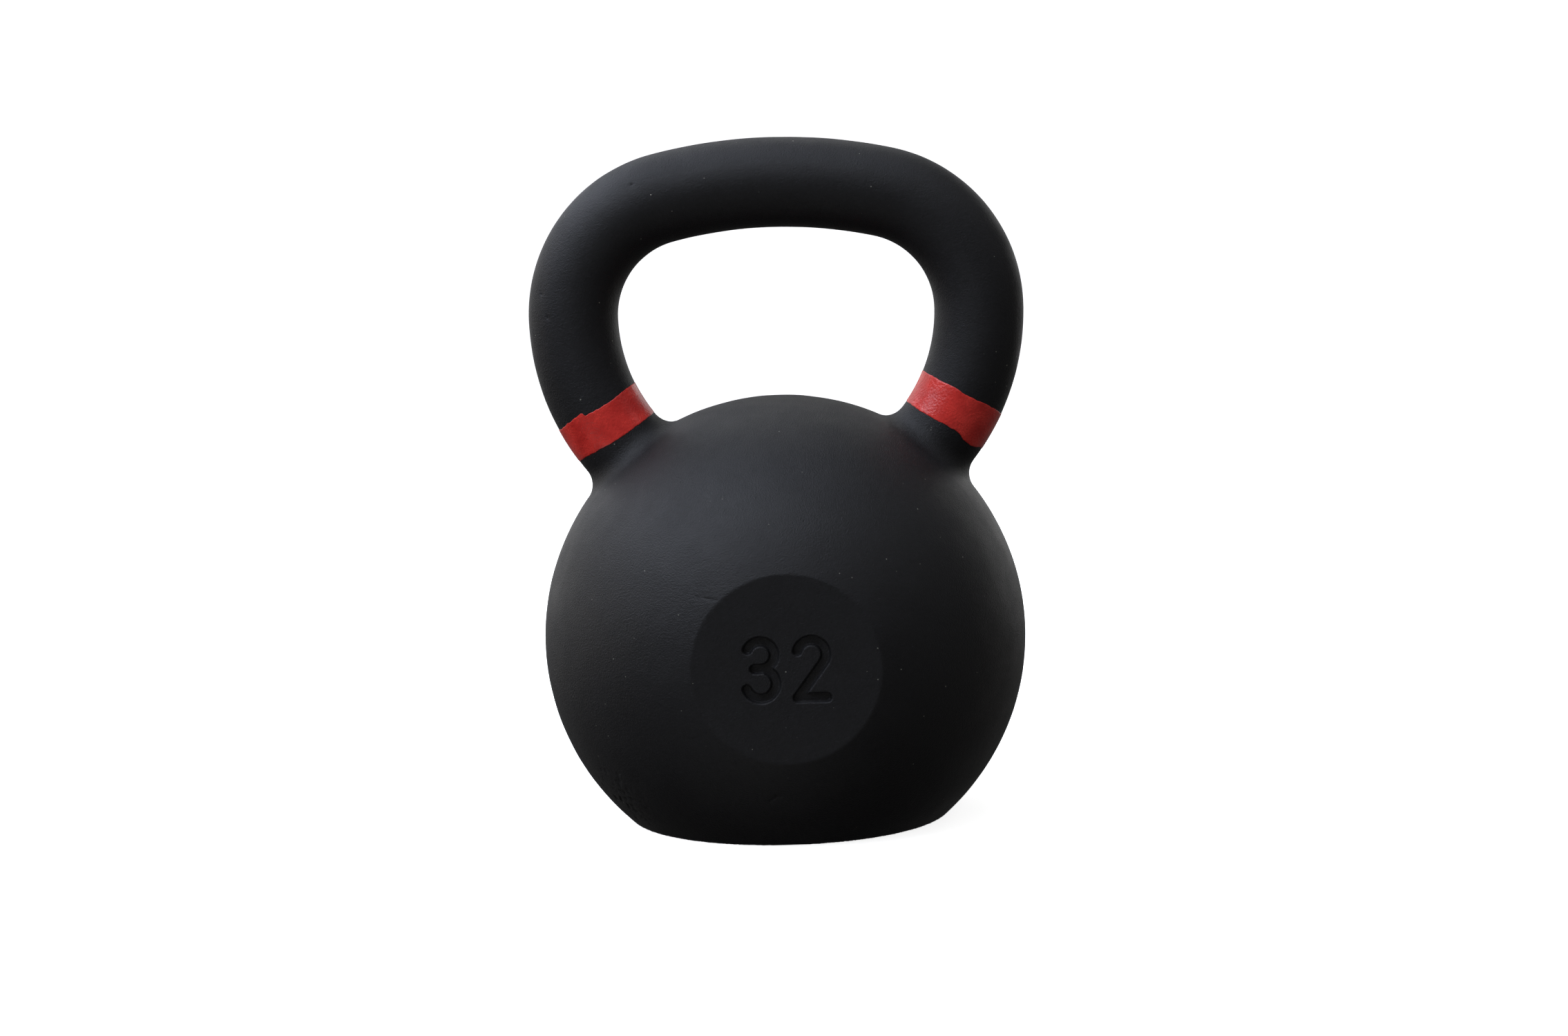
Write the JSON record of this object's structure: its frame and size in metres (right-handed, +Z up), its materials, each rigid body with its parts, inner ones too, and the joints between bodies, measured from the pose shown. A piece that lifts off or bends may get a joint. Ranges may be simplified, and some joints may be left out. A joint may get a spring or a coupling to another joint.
{
  "type": "kettlebell",
  "caption": "Cast-iron kettlebell: a solid ball with a flat base and a thick looped grip, black powder coat, and red colour-code bands painted around the horns.",
  "frame": {"origin": "centre of the flat base face, directly under the middle of the ball", "axes": "+Z up from the base to the grip, X along the grip from horn to horn, the flat with the weight figures faces -Y"},
  "size_m": [0.2054, 0.1938, 0.2827],
  "materials": {
    "powder_coated_iron": "matte",
    "red_enamel": "satin"
  },
  "bodies": {
    "root": {"casting": "powder_coated_iron", "left_band": "red_enamel", "right_band": "red_enamel"}
  },
  "joints": []
}
